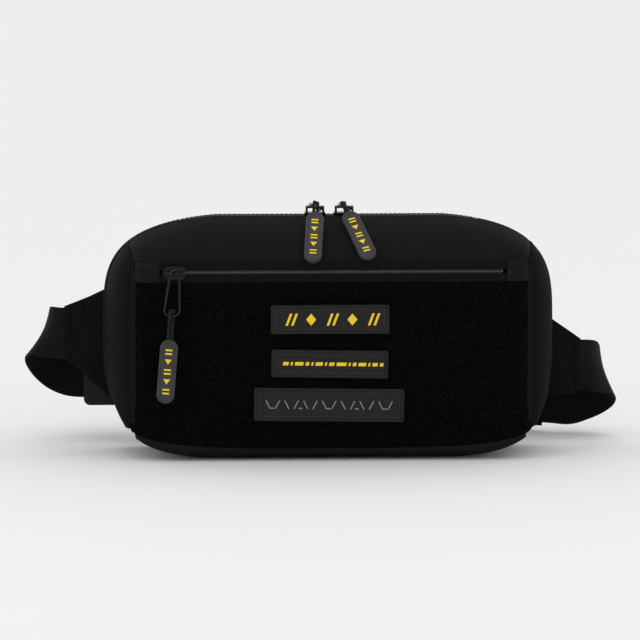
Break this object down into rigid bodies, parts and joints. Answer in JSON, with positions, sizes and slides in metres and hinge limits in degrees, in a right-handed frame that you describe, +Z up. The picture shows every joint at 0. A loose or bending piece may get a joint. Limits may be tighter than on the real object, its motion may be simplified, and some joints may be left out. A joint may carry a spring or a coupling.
{
  "type": "waist pack",
  "caption": "Black zipped waist pack with a front zip pocket, a loop field with three removable rubber patches, and a webbing belt with a side-release buckle.",
  "frame": {"origin": "on the floor, under the middle of the bag's flat base", "axes": "+X to the wearer's left and the viewer's right, -Y out of the front panel, +Z up"},
  "size_m": [0.3719, 0.1364, 0.1582],
  "materials": {
    "shell_fabric": "fine woven polyester, black",
    "side_fabric": "heavier twill, black",
    "loop_pile": "brushed loop pile, deep black",
    "back_mesh": "spacer mesh, black",
    "piping": "bound piping, black",
    "lining": "plain lining, dark grey",
    "zip_tape": "ribbed zip tape, black",
    "zip_coil": "nylon coil, dark grey",
    "slider_metal": "gloss black enamel",
    "pull_cord": "braided cord, black",
    "tag_rubber": "soft satin rubber, charcoal with yellow marks",
    "patch_rubber": "moulded soft rubber, dark grey with raised rim",
    "hook_tape": "hook tape, black",
    "wing_fabric": "woven polyester over thin foam, black",
    "webbing": "ribbed woven webbing, black",
    "elastic": "knitted elastic, black",
    "buckle_plastic": "moulded acetal, satin black"
  },
  "bodies": {
    "bag": {"front_loop_panel": "loop_pile", "front_yoke": "shell_fabric", "side_panel_left": "side_fabric", "side_panel_right": "side_fabric", "bottom_gusset": "shell_fabric", "rear_top_panel": "shell_fabric", "back_panel": "shell_fabric", "back_padding": "back_mesh", "back_piping": "piping", "back_lining": "lining", "pocket_bag": "lining", "slip_pocket": "lining", "front_tape_lower": "zip_tape", "front_tape_upper": "zip_tape", "front_coil": "zip_coil", "front_zip_end_left": "shell_fabric", "front_zip_end_right": "shell_fabric", "main_tape_front": "zip_tape", "main_tape_rear": "zip_tape", "main_coil": "zip_coil", "main_zip_end_left": "shell_fabric", "main_zip_end_right": "shell_fabric", "wing_left": "wing_fabric", "wing_right": "wing_fabric", "webbing_left": "webbing", "webbing_right": "webbing", "webbing_tail": "webbing", "strap_keeper": "elastic", "buckle_female": "buckle_plastic", "buckle_male": "buckle_plastic"},
    "front_slider_body": {"front_slider": "slider_metal"},
    "front_puller_body": {"front_puller": "slider_metal"},
    "front_tag_body": {"front_cord": "pull_cord", "front_tag": "tag_rubber"},
    "main_slider_left_body": {"main_slider_left": "slider_metal"},
    "main_puller_left_body": {"main_puller_left": "slider_metal"},
    "main_tag_left_body": {"main_cord_left": "pull_cord", "main_tag_left": "tag_rubber"},
    "main_slider_right_body": {"main_slider_right": "slider_metal"},
    "main_puller_right_body": {"main_puller_right": "slider_metal"},
    "main_tag_right_body": {"main_cord_right": "pull_cord", "main_tag_right": "tag_rubber"},
    "patch_top": {"patch_top_face": "patch_rubber", "patch_top_hook": "hook_tape"},
    "patch_mid": {"patch_mid_face": "patch_rubber", "patch_mid_hook": "hook_tape"},
    "patch_low": {"patch_low_face": "patch_rubber", "patch_low_hook": "hook_tape"},
    "prong_upper_body": {"prong_upper": "buckle_plastic"},
    "prong_lower_body": {"prong_lower": "buckle_plastic"}
  },
  "joints": [
    {"name": "front_zip_slide", "type": "slide", "parent": "bag", "child": "front_slider_body", "axis": [1, 0, 0], "range_m": [0, 0.188]},
    {"name": "front_puller_swing", "type": "hinge", "parent": "front_slider_body", "child": "front_puller_body", "pos_m": [-0.096, -0.038, 0.1171], "axis": [-1, 0, 0], "range_deg": [0, 130]},
    {"name": "front_tag_swing", "type": "hinge", "parent": "front_puller_body", "child": "front_tag_body", "pos_m": [-0.0981, -0.0396, 0.09103], "axis": [-0.9968, 0, 0.0802], "range_deg": [0, 70]},
    {"name": "main_zip_slide_left", "type": "slide", "parent": "bag", "child": "main_slider_left_body", "axis": [-1, 0, 0], "range_m": [0, 0.07]},
    {"name": "main_puller_swing_left", "type": "hinge", "parent": "main_slider_left_body", "child": "main_puller_left_body", "pos_m": [-0.009, 0.009, 0.1524], "axis": [-1, 0, 0], "range_deg": [0, 120]},
    {"name": "main_tag_swing_left", "type": "hinge", "parent": "main_puller_left_body", "child": "main_tag_left_body", "pos_m": [-0.009, -0.00661, 0.15404], "axis": [-1, 0, 0], "range_deg": [0, 90]},
    {"name": "main_zip_slide_right", "type": "slide", "parent": "bag", "child": "main_slider_right_body", "axis": [1, 0, 0], "range_m": [0, 0.07]},
    {"name": "main_puller_swing_right", "type": "hinge", "parent": "main_slider_right_body", "child": "main_puller_right_body", "pos_m": [0.009, 0.009, 0.1524], "axis": [-1, 0, 0], "range_deg": [0, 120]},
    {"name": "main_tag_swing_right", "type": "hinge", "parent": "main_puller_right_body", "child": "main_tag_right_body", "pos_m": [0.009, -0.00661, 0.15404], "axis": [-1, 0, 0], "range_deg": [0, 90]},
    {"name": "patch_top_peel", "type": "slide", "parent": "bag", "child": "patch_top", "axis": [0, -1, 0], "range_m": [0, 0.03]},
    {"name": "patch_mid_peel", "type": "slide", "parent": "bag", "child": "patch_mid", "axis": [0, -1, 0], "range_m": [0, 0.03]},
    {"name": "patch_low_peel", "type": "slide", "parent": "bag", "child": "patch_low", "axis": [0, -1, 0], "range_m": [0, 0.03]},
    {"name": "prong_upper_squeeze", "type": "hinge", "parent": "bag", "child": "prong_upper_body", "pos_m": [-0.1122, 0.088, 0.0524], "axis": [0, 1, 0], "range_deg": [0, 4], "stiffness_Nm_per_rad": 0.05},
    {"name": "prong_lower_squeeze", "type": "hinge", "parent": "bag", "child": "prong_lower_body", "pos_m": [-0.1122, 0.088, 0.0264], "axis": [0, -1, 0], "range_deg": [0, 4], "stiffness_Nm_per_rad": 0.05}
  ]
}
